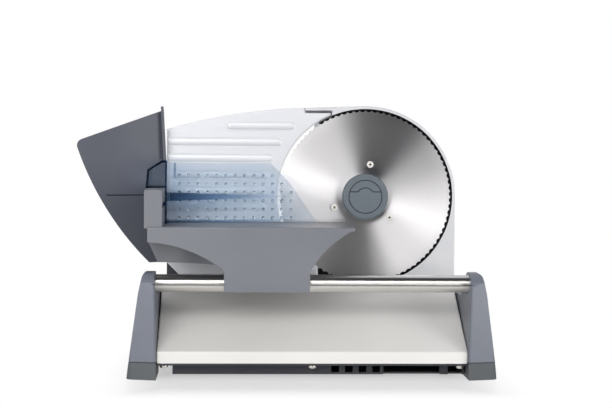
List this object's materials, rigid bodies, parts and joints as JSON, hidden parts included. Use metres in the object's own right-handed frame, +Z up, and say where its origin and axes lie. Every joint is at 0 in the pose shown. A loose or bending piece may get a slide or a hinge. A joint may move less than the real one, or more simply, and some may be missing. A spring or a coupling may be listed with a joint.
{
  "type": "electric food slicer",
  "caption": "Household electric food slicer with a round serrated blade, a ribbed thickness plate, a sliding food carriage on a chrome rail, a clear pusher and grey legs.",
  "frame": {"origin": "middle of the whole footprint, on the worktop under the boots", "axes": "+X to the user's right, +Y away from the user, +Z up"},
  "size_m": [0.416, 0.2614, 0.2673],
  "materials": {
    "leg_grey": "satin moulded plastic",
    "boot_grey": "soft moulded rubber",
    "base_paint": "satin light grey paint",
    "pan_black": "moulded plastic",
    "rail_chrome": "polished",
    "carriage_grey": "satin moulded plastic",
    "guard_grey": "satin moulded plastic",
    "pusher_clear": "clear, faintly blue",
    "blade_steel": "turned and polished",
    "plate_silver": "satin pressed sheet",
    "housing_silver": "satin casting",
    "cover_silver": "silver moulded plastic",
    "screw_steel": "zinc plated",
    "knob_grey": "satin moulded plastic",
    "carrier_dark": "moulded plastic",
    "gear_nylon": "moulded nylon",
    "bush_bronze": "sintered",
    "inner_steel": "plain",
    "motor_black": "painted can",
    "board_green": "lacquered board",
    "switch_black": "moulded plastic"
  },
  "bodies": {
    "base": {"right_leg": "leg_grey", "left_leg": "leg_grey", "right_front_boot": "boot_grey", "left_front_boot": "boot_grey", "right_rear_boot": "boot_grey", "left_rear_boot": "boot_grey", "boot_screws": "screw_steel", "guide_rail": "rail_chrome", "rail_plugs": "carrier_dark", "rail_screws": "screw_steel", "base_shell": "base_paint", "leg_screws": "screw_steel", "bottom_pan": "pan_black", "pan_screws": "screw_steel", "control_board": "board_green", "rear_guide": "carrier_dark", "guide_screws": "screw_steel", "spindle": "inner_steel", "gearhead": "gear_nylon", "motor": "motor_black", "motor_end_cap": "motor_black", "motor_screws": "screw_steel", "gear_housing": "housing_silver", "housing_screws": "screw_steel", "motor_cover": "cover_silver", "cover_screws": "screw_steel", "drive_plate": "inner_steel", "drive_screws": "screw_steel", "slice_deflector": "cover_silver", "deflector_screws": "screw_steel", "guide_rods": "inner_steel", "slide_bracket": "inner_steel", "bracket_screws": "screw_steel", "dial_plate": "carrier_dark", "switch_bezel": "switch_black", "power_inlet": "switch_black"},
    "carriage_slider": {"rail_sleeves": "carrier_dark"},
    "carriage": {"carriage_body": "carriage_grey", "rear_shoe": "carrier_dark", "hand_guard": "guard_grey", "guard_screws": "screw_steel"},
    "pusher": {"food_pusher": "pusher_clear"},
    "blade": {"blade": "blade_steel", "blade_screws": "screw_steel", "blade_gear": "gear_nylon", "blade_bush": "bush_bronze"},
    "lock_knob": {"lock_knob": "knob_grey"},
    "pinion": {"pinion": "gear_nylon"},
    "slice_plate": {"thickness_plate": "plate_silver", "plate_carrier": "carrier_dark", "plate_screws": "screw_steel", "carrier_bushes": "bush_bronze", "lead_nut": "bush_bronze"},
    "dial": {"lead_screw": "inner_steel", "screw_collars": "inner_steel", "thickness_knob": "knob_grey"},
    "rocker": {"switch_rocker": "switch_black"}
  },
  "joints": [
    {"name": "carriage_slide", "type": "slide", "parent": "base", "child": "carriage_slider", "axis": [1, 0, 0], "range_m": [-0.06, 0.148]},
    {"name": "carriage_tilt", "type": "hinge", "parent": "carriage_slider", "child": "carriage", "pos_m": [-0.01654, -0.1087, 0.092], "axis": [1, 0, 0], "range_deg": [0, 60]},
    {"name": "pusher_slide", "type": "slide", "parent": "carriage", "child": "pusher", "axis": [0, 1, 0], "range_m": [-0.062, 0]},
    {"name": "blade_spin", "type": "hinge", "parent": "base", "child": "blade", "pos_m": [0.08691, -0.0027, 0.1733], "axis": [0, 1, 0], "continuous": true},
    {"name": "pinion_spin", "type": "hinge", "parent": "base", "child": "pinion", "pos_m": [0.11316, 0.0065, 0.12783], "axis": [0, 1, 0], "continuous": true},
    {"name": "lock_knob_turn", "type": "hinge", "parent": "blade", "child": "lock_knob", "pos_m": [0.08691, -0.0027, 0.1733], "axis": [0, 1, 0], "range_deg": [0, 90]},
    {"name": "plate_slide", "type": "slide", "parent": "base", "child": "slice_plate", "axis": [0, 1, 0], "range_m": [0, 0.02]},
    {"name": "dial_turn", "type": "hinge", "parent": "base", "child": "dial", "pos_m": [-0.05699, 0.1093, 0.046], "axis": [0, 1, 0], "range_deg": [0, 300]},
    {"name": "switch_tip", "type": "hinge", "parent": "base", "child": "rocker", "pos_m": [0.17891, 0.0813, 0.15], "axis": [0, -1, 0], "range_deg": [0, 12]}
  ],
  "couplings": [
    {"joint": "pinion_spin", "follows": "blade_spin", "ratio": -4},
    {"joint": "dial_turn", "follows": "plate_slide", "rad_per_m": 261.8}
  ]
}
